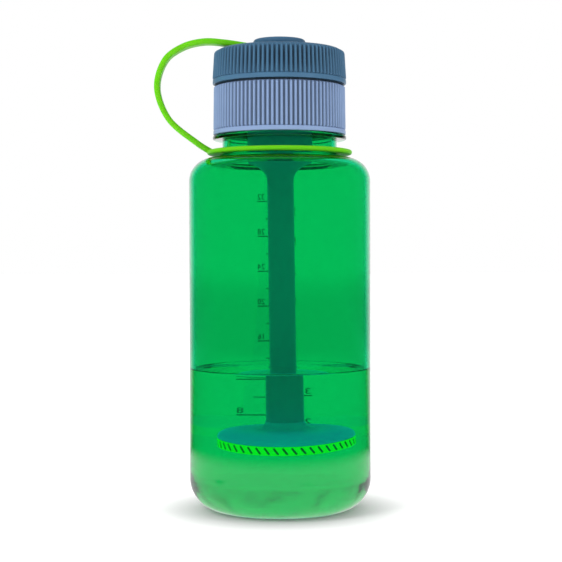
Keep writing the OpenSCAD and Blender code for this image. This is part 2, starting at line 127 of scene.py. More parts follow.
def soften(corners, steps=5, closed=True):
    """An outline with each corner (radius, height, fillet) rounded to its fillet."""
    points = []
    count = len(corners)
    for i, (r, z, fillet) in enumerate(corners):
        at = Vector((r, z))
        if fillet <= 0 or (not closed and i in (0, count - 1)):
            points.append((r, z))
            continue
        back = Vector(corners[i - 1][:2]) - at
        ahead = Vector(corners[(i + 1) % count][:2]) - at
        half = back.angle(ahead) / 2
        reach = min(fillet / math.tan(half), 0.48 * back.length, 0.48 * ahead.length)
        radius = reach * math.tan(half)
        centre = at + (back.normalized() + ahead.normalized()).normalized() * (radius / math.sin(half))
        first = at + back.normalized() * reach - centre
        last = at + ahead.normalized() * reach - centre
        start = math.atan2(first.y, first.x)
        sweep = (math.atan2(last.y, last.x) - start + math.pi) % TURN - math.pi
        for k in range(steps + 1):
            a = start + sweep * k / steps
            points.append((centre.x + radius * math.cos(a), centre.y + radius * math.sin(a)))
    return points


def arc(cx, cz, radius, start, end, steps=14):
    """Points of an arc about (cx, cz), angles in degrees."""
    angles = np.radians(np.linspace(start, end, steps + 1))
    return [(cx + radius * math.cos(a), cz + radius * math.sin(a)) for a in angles]


def stretch(p, q, pieces):
    """Points from p up to, but not including, q."""
    return [(p[0] + (q[0] - p[0]) * k / pieces, p[1] + (q[1] - p[1]) * k / pieces) for k in range(pieces)]


def refine(points, longest):
    """The same closed outline with its long stretches cut into shorter ones."""
    out = []
    for i, p in enumerate(points):
        q = points[(i + 1) % len(points)]
        if p[0] == 0 and q[0] == 0:
            out.append(p)
            continue
        out.extend(stretch(p, q, max(1, math.ceil(math.dist(p, q) / longest))))
    return out


def linked(name, data):
    """A new object in the scene."""
    obj = bpy.data.objects.new(name, data)
    bpy.context.scene.collection.objects.link(obj)
    return obj


def evaluated(obj):
    """The mesh of an object with its modifiers or its lettering worked out."""
    bpy.context.view_layer.update()
    return bpy.data.meshes.new_from_object(obj.evaluated_get(bpy.context.evaluated_depsgraph_get()))


def new_object(name, verts, faces, material, body, smooth=True):
    """A mesh object in metres that rides on a body."""
    mesh = bpy.data.meshes.new(name)
    mesh.from_pydata([tuple(v) for v in verts], [], faces)
    mesh.validate()
    bm = bmesh.new()
    bm.from_mesh(mesh)
    bmesh.ops.recalc_face_normals(bm, faces=bm.faces)
    bm.to_mesh(mesh)
    bm.free()
    mesh.polygons.foreach_set("use_smooth", [smooth] * len(mesh.polygons))
    mesh.materials.append(material)
    obj = linked(name, mesh)
    if body:
        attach(obj, body)
    return obj


def lathe(name, outline, material, body, segments=192, relief=None, offset=(0, 0)):
    """Turns a closed outline of (radius, height) about the Z axis.

    relief gives each point's radial offset."""
    theta = np.linspace(0, TURN, segments, endpoint=False)
    radius = np.array([p[0] for p in outline])[:, None] + np.zeros(segments)[None, :]
    height = np.array([p[1] for p in outline])[:, None] + np.zeros(segments)[None, :]
    if relief:
        radius = radius + relief(theta[None, :], radius, height)
    verts, rows = [], []
    for i, (r, z) in enumerate(outline):
        if r == 0:
            rows.append([len(verts)])
            verts.append((offset[0] * MM, offset[1] * MM, z * MM))
            continue
        base = len(verts)
        rows.append(list(range(base, base + segments)))
        for k in range(segments):
            verts.append((
                (offset[0] + radius[i, k] * math.cos(theta[k])) * MM,
                (offset[1] + radius[i, k] * math.sin(theta[k])) * MM,
                height[i, k] * MM,
            ))
    faces = []
    for i, row in enumerate(rows):
        other = rows[(i + 1) % len(rows)]
        if len(row) == 1 and len(other) == 1:
            continue
        for k in range(segments):
            n = (k + 1) % segments
            if len(row) == 1:
                faces.append((row[0], other[n], other[k]))
            elif len(other) == 1:
                faces.append((row[k], row[n], other[0]))
            else:
                faces.append((row[k], row[n], other[n], other[k]))
    obj = new_object(name, verts, faces, material, body)
    weigh = obj.modifiers.new("even_shading", "WEIGHTED_NORMAL")
    weigh.weight = 80
    return obj


def ease(x, low, high):
    """A smooth step from 0 at low to 1 at high."""
    t = np.clip((x - low) / (high - low), 0, 1)
    return t * t * (3 - 2 * t)


def helix(theta, height, start):
    """0 off a screw thread's ridge and 1 on its crest."""
    best = np.zeros(np.broadcast(theta, height).shape)
    for k in (0, 1):
        turn = theta / TURN + k
        fade = np.clip(6 * np.minimum(turn, THREAD_TURNS - turn) / THREAD_TURNS, 0, 1)
        across = np.abs(height - (start + PITCH * turn))
        best = np.maximum(best, fade * (1 - ease(across, 0.45, 1.05)))
    return best


def ribs(theta, share=0.5):
    """0 in a groove and 1 on a rib, with rounded tops."""
    wave = np.cos(theta * RIB_COUNT)
    return ease(wave, -0.55 + (0.5 - share), 0.75 + (0.5 - share))


# ---------------------------------------------------------------- materials

def base_material(name):
    mat = bpy.data.materials.new(name)
    mat.use_nodes = True
    return mat, mat.node_tree.nodes, mat.node_tree.links, mat.node_tree.nodes["Principled BSDF"]


def maths(nodes, links, kind, first, second=None):
    """A maths node's result. Each input is a number or a socket."""
    node = nodes.new("ShaderNodeMath")
    node.operation = kind
    for socket, value in zip(node.inputs, (first, second)):
        if isinstance(value, (int, float)):
            socket.default_value = value
        elif value is not None:
            links.new(value, socket)
    return node.outputs[0]


def ramp(nodes, links, value, start, end, low=0.0, high=1.0, kind="LINEAR"):
    """A number that runs from low to high as value runs from start to end, and stays there beyond them."""
    node = nodes.new("ShaderNodeMapRange")
    node.interpolation_type = kind
    for name, number in (("From Min", start), ("From Max", end), ("To Min", low), ("To Max", high)):
        node.inputs[name].default_value = number
    links.new(value, node.inputs["Value"])
    return node.outputs[0]


def coordinates(nodes, links, vector):
    """The three coordinates of a vector socket."""
    apart = nodes.new("ShaderNodeSeparateXYZ")
    links.new(vector, apart.inputs[0])
    return apart.outputs


def object_place(nodes, links):
    """The shaded point's X, Y and Z in its own piece."""
    return coordinates(nodes, links, nodes.new("ShaderNodeTexCoord").outputs["Object"])


def mask_value(nodes, name):
    """What an attribute on the mesh holds at the shaded point."""
    source = nodes.new("ShaderNodeAttribute")
    source.attribute_name = name
    return source.outputs["Fac"]


def noise_node(nodes, links, scale, detail=4.0, per_axis=(1, 1, 1)):
    """Noise in object space, so that it stays on the piece when it moves."""
    coords = nodes.new("ShaderNodeTexCoord")
    mapping = nodes.new("ShaderNodeMapping")
    mapping.inputs["Scale"].default_value = per_axis
    noise = nodes.new("ShaderNodeTexNoise")
    noise.inputs["Scale"].default_value = scale
    noise.inputs["Detail"].default_value = detail
    links.new(coords.outputs["Object"], mapping.inputs["Vector"])
    links.new(mapping.outputs["Vector"], noise.inputs["Vector"])
    return noise


def add_bump(nodes, links, shader, noise, strength, distance):
    bump = nodes.new("ShaderNodeBump")
    bump.inputs["Strength"].default_value = strength
    bump.inputs["Distance"].default_value = distance
    links.new(noise.outputs["Fac"], bump.inputs["Height"])
    links.new(bump.outputs["Normal"], shader.inputs["Normal"])


def vary(nodes, links, shader, noise, socket, low, high):
    """Lets a socket of numbers or colours wander between two values with the noise."""
    mix = nodes.new("ShaderNodeMix")
    is_colour = isinstance(low, tuple)
    mix.data_type = "RGBA" if is_colour else "FLOAT"
    offset = 6 if is_colour else 2
    mix.inputs[offset].default_value = (*low, 1) if is_colour else low
    mix.inputs[offset + 1].default_value = (*high, 1) if is_colour else high
    links.new(noise.outputs["Fac"], mix.inputs[0])
    links.new(mix.outputs[2 if is_colour else 0], shader.inputs[socket])


def moulded_plastic(name, low, high, roughness=(0.32, 0.46), grain=0.12):
    """Satin moulded plastic: fine grain, slight colour drift, uneven gloss."""
    mat, nodes, links, shader = base_material(name)
    shader.inputs["IOR"].default_value = 1.5
    vary(nodes, links, shader, noise_node(nodes, links, 90), "Base Color", low, high)
    vary(nodes, links, shader, noise_node(nodes, links, 260, 6), "Roughness", *roughness)
    add_bump(nodes, links, shader, noise_node(nodes, links, 2600, 3), grain, 0.00008)
    return mat


def darken(mat, share, amount):
    """Multiplies the base colour by amount, as far as share says."""
    nodes, links = mat.node_tree.nodes, mat.node_tree.links
    base = nodes["Principled BSDF"].inputs["Base Color"]
    mix = nodes.new("ShaderNodeMix")
    mix.data_type = "RGBA"
    mix.blend_type = "MULTIPLY"
    mix.inputs[7].default_value = (amount, amount, amount, 1)
    links.new(share, mix.inputs[0])
    links.new(base.links[0].from_socket, mix.inputs[6])
    links.new(mix.outputs[2], base)


def darken_grooves(mat, amount):
    """Painted shade: darkens the base colour in the grip grooves, most where they are deepest, and not on the
    ribs between them.
    """
    nodes, links = mat.node_tree.nodes, mat.node_tree.links
    x, y, _ = object_place(nodes, links)
    angle = maths(nodes, links, "ARCTAN2", y, x)
    wave = maths(nodes, links, "COSINE", maths(nodes, links, "MULTIPLY", angle, RIB_COUNT))
    squares = [maths(nodes, links, "MULTIPLY", side, side) for side in (x, y)]
    reach = maths(nodes, links, "SQRT", maths(nodes, links, "ADD", *squares))
    outside = ramp(nodes, links, reach, (collar_r - 1.6) * MM, (collar_r - 1.0) * MM)
    depth = ramp(nodes, links, reach, (collar_r - 0.1) * MM, (collar_r - 0.7) * MM)
    groove = ramp(nodes, links, wave, 0.3, -0.6)
    share = maths(nodes, links, "MULTIPLY", maths(nodes, links, "MULTIPLY", groove, outside), depth)
    darken(mat, share, amount)


def soft_rubber(name, low, high, depth):
    """Smooth moulded rubber that lets a little light through."""
    mat, nodes, links, shader = base_material(name)
    shader.inputs["IOR"].default_value = 1.45
    shader.inputs["Specular IOR Level"].default_value = 0.25
    shader.inputs["Subsurface Weight"].default_value = depth
    shader.inputs["Subsurface Radius"].default_value = (0.4, 1.0, 0.15)
    shader.inputs["Subsurface Scale"].default_value = 0.0028
    vary(nodes, links, shader, noise_node(nodes, links, 70), "Base Color", low, high)
    vary(nodes, links, shader, noise_node(nodes, links, 420, 6), "Roughness", 0.34, 0.5)
    add_bump(nodes, links, shader, noise_node(nodes, links, 3000, 3), 0.1, 0.00006)
    return mat


def clear_plastic(name, tint, ior=1.57):
    """Clear tinted plastic whose walls are a little wavy from moulding."""
    mat, nodes, links, shader = base_material(name)
    shader.inputs["Base Color"].default_value = (*tint, 1)
    shader.inputs["Transmission Weight"].default_value = 1
    shader.inputs["IOR"].default_value = ior
    add_bump(nodes, links, shader, noise_node(nodes, links, 22, 2, (1, 1, 0.35)), 0.09, 0.0006)
    _, _, height = object_place(nodes, links)
    # glossy everywhere but under the foot, which is scuffed and frosted
    frosted = ramp(nodes, links, height, 1.0 * MM, 1.5 * MM, 0.5, 0.0)
    uneven = ramp(nodes, links, noise_node(nodes, links, 45, 5).outputs["Fac"], 0, 1, 0.01, 0.05)
    links.new(maths(nodes, links, "ADD", frosted, uneven), shader.inputs["Roughness"])
    # the thick floor cooled unevenly, so it bends light more than the wall does
    near_floor = ramp(nodes, links, height, 20 * MM, 8 * MM)
    swell = maths(nodes, links, "SUBTRACT", noise_node(nodes, links, 48, 1).outputs["Fac"], 0.45)
    pools = nodes.new("ShaderNodeBump")
    pools.inputs["Strength"].default_value = 0.5
    pools.inputs["Distance"].default_value = 0.0034
    links.new(maths(nodes, links, "MULTIPLY", near_floor, swell), pools.inputs["Height"])
    links.new(shader.inputs["Normal"].links[0].from_socket, pools.inputs["Normal"])
    links.new(pools.outputs["Normal"], shader.inputs["Normal"])
    return mat


def water_material():
    mat, nodes, links, shader = base_material("water")
    shader.inputs["Base Color"].default_value = (0.96, 1, 0.98, 1)
    shader.inputs["Transmission Weight"].default_value = 1
    shader.inputs["IOR"].default_value = 1.333
    shader.inputs["Roughness"].default_value = 0
    add_bump(nodes, links, shader, noise_node(nodes, links, 35, 2), 0.02, 0.0004)
    return mat


def glow(mat, colour, strength):
    """Painted light: an emission that makes a part inside the bottle glow, though it is no lamp."""
    shader = mat.node_tree.nodes["Principled BSDF"]
    shader.inputs["Emission Color"].default_value = (*colour, 1)
    shader.inputs["Emission Strength"].default_value = strength


def shade_inside(mat, mask, share):
    """Painted shade: darkens a glowing material and turns its painted glow off on the faces that its mask
    leaves out, such as slot walls.
    """
    nodes, links = mat.node_tree.nodes, mat.node_tree.links
    outside = mask_value(nodes, mask)
    darken(mat, maths(nodes, links, "SUBTRACT", 1, outside), share)
    strength = nodes["Principled BSDF"].inputs["Emission Strength"]
    links.new(maths(nodes, links, "MULTIPLY", outside, strength.default_value), strength)


def fade_glow(mat, mask, low, high):
    """Lets a material's painted glow run from low to high with a mask on the mesh."""
    nodes, links = mat.node_tree.nodes, mat.node_tree.links
    share = ramp(nodes, links, mask_value(nodes, mask), 0, 1, low, high)
    links.new(share, nodes["Principled BSDF"].inputs["Emission Strength"])


def seal_material(name, colour, clearness):
    mat, nodes, links, shader = base_material(name)
    shader.inputs["Base Color"].default_value = (*colour, 1)
    shader.inputs["Transmission Weight"].default_value = clearness
    shader.inputs["IOR"].default_value = 1.42
    vary(nodes, links, shader, noise_node(nodes, links, 300, 5), "Roughness", 0.3, 0.5)
    add_bump(nodes, links, shader, noise_node(nodes, links, 2200, 3), 0.1, 0.00006)
    return mat


def ceramic_material():
    mat, nodes, links, shader = base_material("glazed_ceramic")
    shader.inputs["Coat Weight"].default_value = 0.8
    shader.inputs["Coat Roughness"].default_value = 0.06
    cloud = noise_node(nodes, links, 160, 6)
    vary(nodes, links, shader, cloud, "Base Color", (0.84, 0.83, 0.79), (0.92, 0.91, 0.88))
    vary(nodes, links, shader, noise_node(nodes, links, 500, 5), "Roughness", 0.25, 0.4)
    add_bump(nodes, links, shader, noise_node(nodes, links, 240, 4), 0.12, 0.0001)
    return mat


def steel_material():
    mat, nodes, links, shader = base_material("screen_steel")
    shader.inputs["Metallic"].default_value = 1
    tarnish = noise_node(nodes, links, 900, 4)
    vary(nodes, links, shader, tarnish, "Base Color", (0.52, 0.52, 0.54), (0.66, 0.66, 0.68))
    vary(nodes, links, shader, noise_node(nodes, links, 1400, 5), "Roughness", 0.25, 0.45)
    add_bump(nodes, links, shader, noise_node(nodes, links, 3000, 3, (1, 12, 1)), 0.15, 0.00005)
    return mat


def ink_material():
    mat, nodes, links, shader = base_material("scale_ink")
    speckle = noise_node(nodes, links, 1500, 5)
    vary(nodes, links, shader, speckle, "Base Color", (0.012, 0.02, 0.01), (0.035, 0.045, 0.02))
    vary(nodes, links, shader, noise_node(nodes, links, 1500, 5), "Roughness", 0.45, 0.65)
    return mat


GREEN_TINT = (0.012, 0.72, 0.30)
green_plastic = clear_plastic("green_clear_plastic", GREEN_TINT)
collar_blue = moulded_plastic("collar_periwinkle", (0.235, 0.34, 0.56), (0.28, 0.40, 0.635))
# the collar's and the lid's grip grooves get painted shade
darken_grooves(collar_blue, 0.33)
lid_slate = moulded_plastic("lid_slate", (0.055, 0.15, 0.262), (0.075, 0.188, 0.32))
darken_grooves(lid_slate, 0.22)
deck_slate = moulded_plastic("deck_slate", (0.04, 0.13, 0.24), (0.055, 0.16, 0.30), (0.35, 0.5))
lime_rubber = soft_rubber("tether_lime", (0.135, 0.58, 0.004), (0.185, 0.66, 0.010), 0.45)
stem_blue = moulded_plastic("stem_blue", (0.22, 0.34, 0.68), (0.28, 0.40, 0.78), (0.28, 0.42))
dome_blue = moulded_plastic("dome_blue", (0.32, 0.56, 0.88), (0.38, 0.62, 0.95), (0.25, 0.4))
# painted light: the dome, the stem and the lime pan glow, though they are no lamps
glow(dome_blue, (0.02, 0.13, 0.40), 1)
fade_glow(dome_blue, "to_edge", 0.5, 1.35)
glow(stem_blue, (0.01, 0.03, 0.07), 1)
diffuser_lime = soft_rubber("diffuser_lime", (0.24, 0.80, 0.012), (0.32, 0.88, 0.02), 0.2)
glow(diffuser_lime, (0.1, 0.9, 0.0), 0.95)
shade_inside(diffuser_lime, "outer_face", 0.5)
water = water_material()
silicone = seal_material("clear_silicone", (0.78, 0.82, 0.84), 0.35)
# near-black silicone: painted shade for the gap under the lid
gap_shade_silicone = seal_material("gap_shade_silicone", (0.02, 0.04, 0.06), 0.0)
ceramic = ceramic_material()
steel = steel_material()
ink = ink_material()


# ---------------------------------------------------------------- bottle

def bottle_inside(gap=0.0):
    """The inner outline from the neck's rim down to the middle of the floor."""
    bore = body_r - WALL - gap
    corner = BASE_CORNER - WALL
    shoulder = SHOULDER_CORNER - WALL
    side = body_r - SHOULDER_CORNER
    return (
        arc(side, neck_z - SHOULDER_CORNER, shoulder, 90, 0)
        + arc(bore - corner, FLOOR + gap + corner, corner, 0, -90, 18)
        + [(0, FLOOR + gap)]
    )


def make_bottle():
    side = body_r - SHOULDER_CORNER
    foot_in = 20
    outside = (
        [(0, 1.2), (foot_in - 6, 1.2), (foot_in - 2.5, 1.1), (foot_in - 1, 0.6), (foot_in + 0.5, 0.1),
         (foot_in + 2, 0)]
        + arc(body_r - BASE_CORNER, BASE_CORNER, BASE_CORNER, -90, 0, 22)
        + arc(side, neck_z - SHOULDER_CORNER, SHOULDER_CORNER, 0, 90, 18)
    )
    neck = soften([
        (side, neck_z, 0), (NECK_R, neck_z, 1.4), (NECK_R, bead_z, 0.5), (BEAD_R, bead_z, 0.9),
        (BEAD_R, thread_z, 0.9), (NECK_CORE_R, thread_z, 0.5), (NECK_CORE_R, rim_z, 0.7),
        (NECK_BORE, rim_z, 0.7), (NECK_BORE, neck_z - WALL, 2.0), (side, neck_z - WALL, 0),
    ], closed=False)[1:-1]
    outline = refine(outside + neck + bottle_inside(), 6)
    lower = thread_z + 1.2
    fine = []
    for i, p in enumerate(outline):
        q = outline[(i + 1) % len(outline)]
        on_thread = p[1] >= thread_z and all(-0.1 < r - NECK_CORE_R < 0.2 for r in (p[0], q[0]))
        fine.extend(stretch(p, q, max(1, round(math.dist(p, q) / 0.22)) if on_thread else 1))

    def relief(theta, radius, height):
        outer_neck = (radius > NECK_CORE_R - 0.3) & (radius < NECK_CORE_R + 0.2) & (height > lower)
        return np.where(outer_neck, THREAD_DEPTH * helix(theta, height, thread_z + NECK_THREAD_START), 0)

    obj = lathe("clear_bottle", fine, green_plastic, "bottle", 256, relief)
    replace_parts(obj, "bottle_body")


WATER_LEVEL = 72.0


def make_water():
    """Water up to its level, with a meniscus that climbs the wall and the leaning stem."""
    gap = -0.25
    wall_r = body_r - WALL - gap
    climb, reach = 1.1, 1.2
    at_water = lean @ Vector((0, 0, WATER_LEVEL * MM))
    sx, sy, stem_out = at_water.x / MM, at_water.y / MM, 7.0
    sides = [p for p in bottle_inside(gap) if p[1] < WATER_LEVEL - 5]
    steps = [0, 0.3, 0.7, 1.2, 1.9, 2.8, 4]
    top = [(wall_r - d, WATER_LEVEL) for d in reversed(steps)]
    inner = [(0, WATER_LEVEL)] + [(r, WATER_LEVEL) for r in np.linspace(1, wall_r - 5, 44)]
    surface = inner + top

    def lift(x, y):
        wall = climb * math.exp(-(wall_r - math.hypot(x, y)) / reach)
        away = max(0.0, math.hypot(x - sx, y - sy) - stem_out)
        return wall + climb * math.exp(-away / reach)

    outline = refine(surface + [(wall_r, WATER_LEVEL - 0.8)] + sides, 8)
    obj = lathe("water_fill", outline, water, "bottle", 192)
    for v in obj.data.vertices:
        if abs(v.co.z - WATER_LEVEL * MM) < 1e-6:
            v.co.z += lift(v.co.x / MM, v.co.y / MM) * MM


SCALE_ZERO = 7.3
MM_PER_OUNCE = 4.786
MM_PER_100_ML = 16.18
PRINT_R = 46.78


def on_back_wall(x, z, lift=0.0):
    """A point of the flat artwork, wrapped round the back of the bottle."""
    a = x / body_r
    r = PRINT_R + lift
    return (r * math.sin(a) * MM, r * math.cos(a) * MM, z * MM)


def make_scale():
    """A generic measuring scale on the bottle's back wall, read from behind: ounces and millilitres."""
    verts, faces = [], []
    ounce_column, ounce_short, ounce_long = -4.3, -8.1, -13.0
    ml_column, ml_short, ml_long = 2.8, 6.0, 9.4
    fine_line, bold_line = 0.36, 0.5

    def bar(x0, x1, z, thickness):
        cells = max(1, math.ceil(abs(x1 - x0) / 1.5))
        base = len(verts)
        for k in range(cells + 1):
            x = x0 + (x1 - x0) * k / cells
            verts.append(on_back_wall(x, z - thickness / 2))
            verts.append(on_back_wall(x, z + thickness / 2))
        for k in range(cells):
            a = base + 2 * k
            faces.append((a, a + 2, a + 3, a + 1))

    def figure(text, x_end, z, size=3.3):
        curve = bpy.data.curves.new("figure", "FONT")
        curve.body = text
        curve.size = size * 1.35
        curve.resolution_u = 3
        curve.align_x = "RIGHT"
        holder = linked("figure", curve)
        flat = evaluated(holder)
        base = len(verts)
        verts.extend(on_back_wall(x_end - v.co.x, z + v.co.y) for v in flat.vertices)
        faces.extend(tuple(base + i for i in reversed(p.vertices)) for p in flat.polygons)
        bpy.data.objects.remove(holder)
        bpy.data.curves.remove(curve)
        bpy.data.meshes.remove(flat)

    for ounces in range(6, 34, 2):
        z = SCALE_ZERO + MM_PER_OUNCE * ounces
        major = ounces % 4 == 0
        bar(ounce_long if major else ounce_short, ounce_column, z, bold_line if major else fine_line)
        if major:
            figure(str(ounces), ounce_long, z + 1.0)
    for step in range(2, 10):
        z = SCALE_ZERO + MM_PER_100_ML * step
        bar(ml_column, ml_long, z, bold_line)
        bar(ml_column, ml_short, z + MM_PER_100_ML / 2, fine_line)
        figure(str(step * 100), ml_column - 0.2, z + 1.0)
    obj = new_object("measuring_scale", verts, faces, ink, "bottle", False)
    skin = obj.modifiers.new("film", "SOLIDIFY")
    skin.thickness = 0.00003
    skin.offset = 0


make_bottle()
make_water()
make_scale()


# ---------------------------------------------------------------- collar

def make_collar():
    groove = collar_r - RIB_DEPTH
    bore = 31.75
    seat_edge = 30.4
    deck_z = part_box("collar_deck")[1].z / MM - 3
    seat_z = deck_z - 2.2
    roof = collar_top - 2.2
    outline = soften([
        (bore, collar_z, 0.4), (collar_r + 0.25, collar_z, 0.5), (collar_r + 0.2, collar_z + RIB_BAND, 0.3),
        (groove + 0.2, collar_z + RIB_BAND + 0.35, 0.2), (groove - 0.1, collar_top, 0.9),
        (SPIGOT_R, collar_top, 0.4), (SPIGOT_R, spigot_top, 0.6), (SPIGOT_BORE, spigot_top, 0.6),
        (SPIGOT_BORE, deck_z, 0.2), (26, deck_z, 0.2), (26, seat_z, 0.2), (seat_edge, seat_z, 0.2),
        (seat_edge, roof, 0.4), (bore, roof, 0.4),
    ])
    outline = refine(outline, 0.4)
    ribs_from = collar_z + RIB_BAND + 0.1

    def relief(theta, radius, height):
        outer = radius > groove - 1.2
        mask = ease(height, ribs_from, ribs_from + 0.7)
        mask = mask * (1 - ease(height, collar_top - 0.9, collar_top - 0.05))
        mask = mask * ease(radius, groove - 0.7, groove - 0.2)
        ribbed = np.where(outer & (height > ribs_from - 0.1), RIB_DEPTH * mask * ribs(theta), 0)
        in_bore = (np.abs(radius - bore) < 0.15) & (height < seat_z)
        thread_start = thread_z + NECK_THREAD_START + PITCH / 2
        female = np.where(in_bore, -THREAD_DEPTH * helix(theta, height, thread_start), 0)
        on_spigot = (np.abs(radius - SPIGOT_R) < 0.15) & (height > collar_top + 0.6)
        male = np.where(on_spigot, THREAD_DEPTH * helix(theta, height, collar_top + LID_THREAD_START), 0)
        return ribbed + female + male

    obj = lathe("ribbed_collar", outline, collar_blue, "collar", 1080, relief)
    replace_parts(obj, "collar_shell")


def make_gasket(name, node, body, material, clear=0.0):
    """A flat ring of silicone with eased edges, the size of its CAD node. clear widens its bore."""
    outer, low, high = span(node)
    co = np.array([v.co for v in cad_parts[node].data.vertices])
    inner = float(np.hypot(co[:, 0], co[:, 1]).min()) / MM + clear
    edge = min(0.4, (high - low) * 0.45)
    outline = soften([(inner, low, edge), (outer, low, edge), (outer, high, edge), (inner, high, edge)])
    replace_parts(lathe(name, outline, material, body, 192), node)


make_collar()
make_gasket("neck_seal_ring", "neck_gasket", "collar_carrier", silicone)
# painted shade: the lid's gasket is coloured near black so the gap under the lid reads as shadow
make_gasket("lid_seal_ring", "lid_gasket", "lid_carrier", gap_shade_silicone, 0.25)
make_gasket("knob_seal_ring", "knob_seal", "lid", silicone)


# ---------------------------------------------------------------- lid and knob

def make_lid():
    groove = lid_r - RIB_DEPTH
    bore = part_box("lid_liner")[1].x / MM + 0.6
    corner = 3.0
    crown_r = 33.6
    top_r = crown_r - RIB_DEPTH * 0.9
    neck_hole = 6.83
    stud_hole = 4.63
    side = soften([
        (bore, lid_z, 0.4), (lid_r + 0.25, lid_z, 0.6), (lid_r + 0.15, lid_z + RIB_BAND, 0.3),
        (groove + 0.25, lid_z + RIB_BAND + 0.35, 0.2), (top_r, lid_top - corner, 0),
    ], closed=False)
    side = soften([(bore, lid_z, 0), (bore + 0.4, lid_z, 0)], closed=False) + side[1:-1]
    crown = arc(top_r - corner, lid_top - corner, corner, 0, 90, 12)
    inside = soften([
        (20, lid_top, 0), (neck_hole, lid_top, 0.3), (neck_hole, lid_top - 1, 0.1),
        (stud_hole, lid_top - 1, 0.1), (stud_hole, lid_ceiling, 0.1), (bore, lid_ceiling, 0.8),
        (bore, lid_z + 3, 0),
    ], closed=False)
    outline = refine(side + crown + inside, 0.5)

    def relief(theta, radius, height):
        mask = ease(height, lid_z + RIB_BAND + 0.1, lid_z + RIB_BAND + 0.8)
        mask = mask * ease(radius, top_r - 1.6, top_r - 0.4)
        mask = mask * (1 - ease(height, lid_top - 1.6, lid_top - 0.5))
        ribbed = np.where((radius > bore + 0.3), RIB_DEPTH * mask * ribs(theta), 0)
        in_bore = (np.abs(radius - bore) < 0.15) & (height < lid_ceiling - 1) & (height > lid_z + 0.5)
        thread_start = collar_top + LID_THREAD_START + PITCH / 2
        female = np.where(in_bore, -THREAD_DEPTH * helix(theta, height, thread_start), 0)
        return ribbed + female

    obj = lathe("ribbed_lid", outline, lid_slate, "lid", 1080, relief)
    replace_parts(obj, "lid_shell")


def make_knob():
    """A mushroom: a stud through the lid, a neck inside the tether's ring and a head over it."""
    stud_r, neck_r = 4.6, 6.8
    base, neck_low, dish = knob_top - 2.7, lid_top - 0.4, knob_top - 0.15
    outline = soften([
        (0, lid_ceiling, 0), (stud_r, lid_ceiling, 0.4), (stud_r, neck_low, 0.1), (neck_r, neck_low, 0.1),
        (neck_r, base, 0.5), (knob_r, base, 0.6), (knob_r, knob_top, 1.5), (3, dish, 0), (0, dish, 0),
    ], closed=False)
    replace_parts(lathe("lid_knob_cap", outline, lid_slate, "lid", 192), "lid_knob")


make_lid()
make_knob()


# ---------------------------------------------------------------- tether

def strap_line():
    """The strap's centre line from the neck's ring to the ring under the knob: (distance, height)."""
    ring_mid = neck_ring_z + TETHER_RING_T / 2
    reach = -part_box("tether_lower")[0].x / MM - 1.5
    exit_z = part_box("tether_cap_ring")[0].z / MM + 1.0
    rise = exit_z - ring_mid
    route = [
        (neck_ring_r - 3, ring_mid), (reach - 20, ring_mid + 0.1 * rise), (reach - 6, ring_mid + 0.32 * rise),
        (reach, (ring_mid + exit_z) / 2 + 6), (reach - 3.8, exit_z - 7),
        ((reach + lid_r) / 2 + 1.4, exit_z + 0.2),
        (lid_r + 4.8, exit_z + 3), (lid_r - 6.2, exit_z + 2.4), (knob_r + 3.2, exit_z + 0.7), (10.2, exit_z),
    ]
    padded = [route[0]] + route + [route[-1]]
    points = []
    for i in range(1, len(padded) - 2):
        a, b, c, d = (np.array(padded[j]) for j in range(i - 1, i + 3))
        for k in range(14):
            t = k / 14
            points.append(0.5 * (2 * b + (c - a) * t + (2 * a - 5 * b + 4 * c - d) * t ** 2
                                 + (3 * b - a - 3 * c + d) * t ** 3))
    points.append(np.array(route[-1]))
    return points


STRAP_WIDTH = 8.4
STRAP_THICK = 3.0
NECK_RING_BORE = 30.3
CAP_RING_BORE = 7.2
CAP_RING_R = 11.6
CAP_RING_T = 2
cap_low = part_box("tether_cap_ring")[0].z / MM


def strap_blank():
    """The strap alone, drawn along its line with a round-cornered section."""
    line = strap_line()
    section = []
    for sx, sz in ((1, 1), (-1, 1), (-1, -1), (1, -1)):
        for k in range(5):
            a = math.radians(90 * k / 4)
            first = math.cos(a) if sx * sz > 0 else math.sin(a)
            other = math.sin(a) if sx * sz > 0 else math.cos(a)
            section.append((sx * (STRAP_WIDTH / 2 - 1 + first), sz * (STRAP_THICK / 2 - 1 + other)))
    verts, faces = [], []
    n = len(section)
    for i, p in enumerate(line):
        ahead = line[min(i + 1, len(line) - 1)] - line[max(i - 1, 0)]
        dx, dz = ahead / np.linalg.norm(ahead)
        for across, up in section:
            verts.append((-(p[0] - dz * up) * MM, across * MM, (p[1] + dx * up) * MM))
    for i in range(len(line) - 1):
        for k in range(n):
            faces.append((n * i + k, n * i + (k + 1) % n, n * (i + 1) + (k + 1) % n, n * (i + 1) + k))
    faces.append(tuple(range(n)))
    faces.append(tuple(reversed(range(n * (len(line) - 1), n * len(line)))))
    return new_object("tether_blank", verts, faces, lime_rubber, None)


def ring_blank(name, bore, outer, low, high, inner_edge, outer_edge):
    outline = soften([(bore, low, inner_edge), (outer, low, outer_edge), (outer, high, outer_edge),
                      (bore, high, inner_edge)])
    part = lathe(name, outline, lime_rubber, None, 160)
    part.modifiers.clear()
    return part


def fused(parts):
    """One smooth mesh of overlapping parts, which it removes."""
    joined = bmesh.new()
    for part in parts:
        joined.from_mesh(part.data)
    mesh = bpy.data.meshes.new("tether_blank_all")
    joined.to_mesh(mesh)
    joined.free()
    blank = linked("tether_blank_all", mesh)
    fuse = blank.modifiers.new("fuse", "REMESH")
    fuse.mode = "VOXEL"
    fuse.voxel_size = 0.00028
    fuse.use_smooth_shade = True
    smooth = blank.modifiers.new("smooth", "SMOOTH")
    smooth.factor = 0.5
    smooth.iterations = 14
    whole = evaluated(blank)
    for part in parts + [blank]:
        bpy.data.objects.remove(part)
    return whole


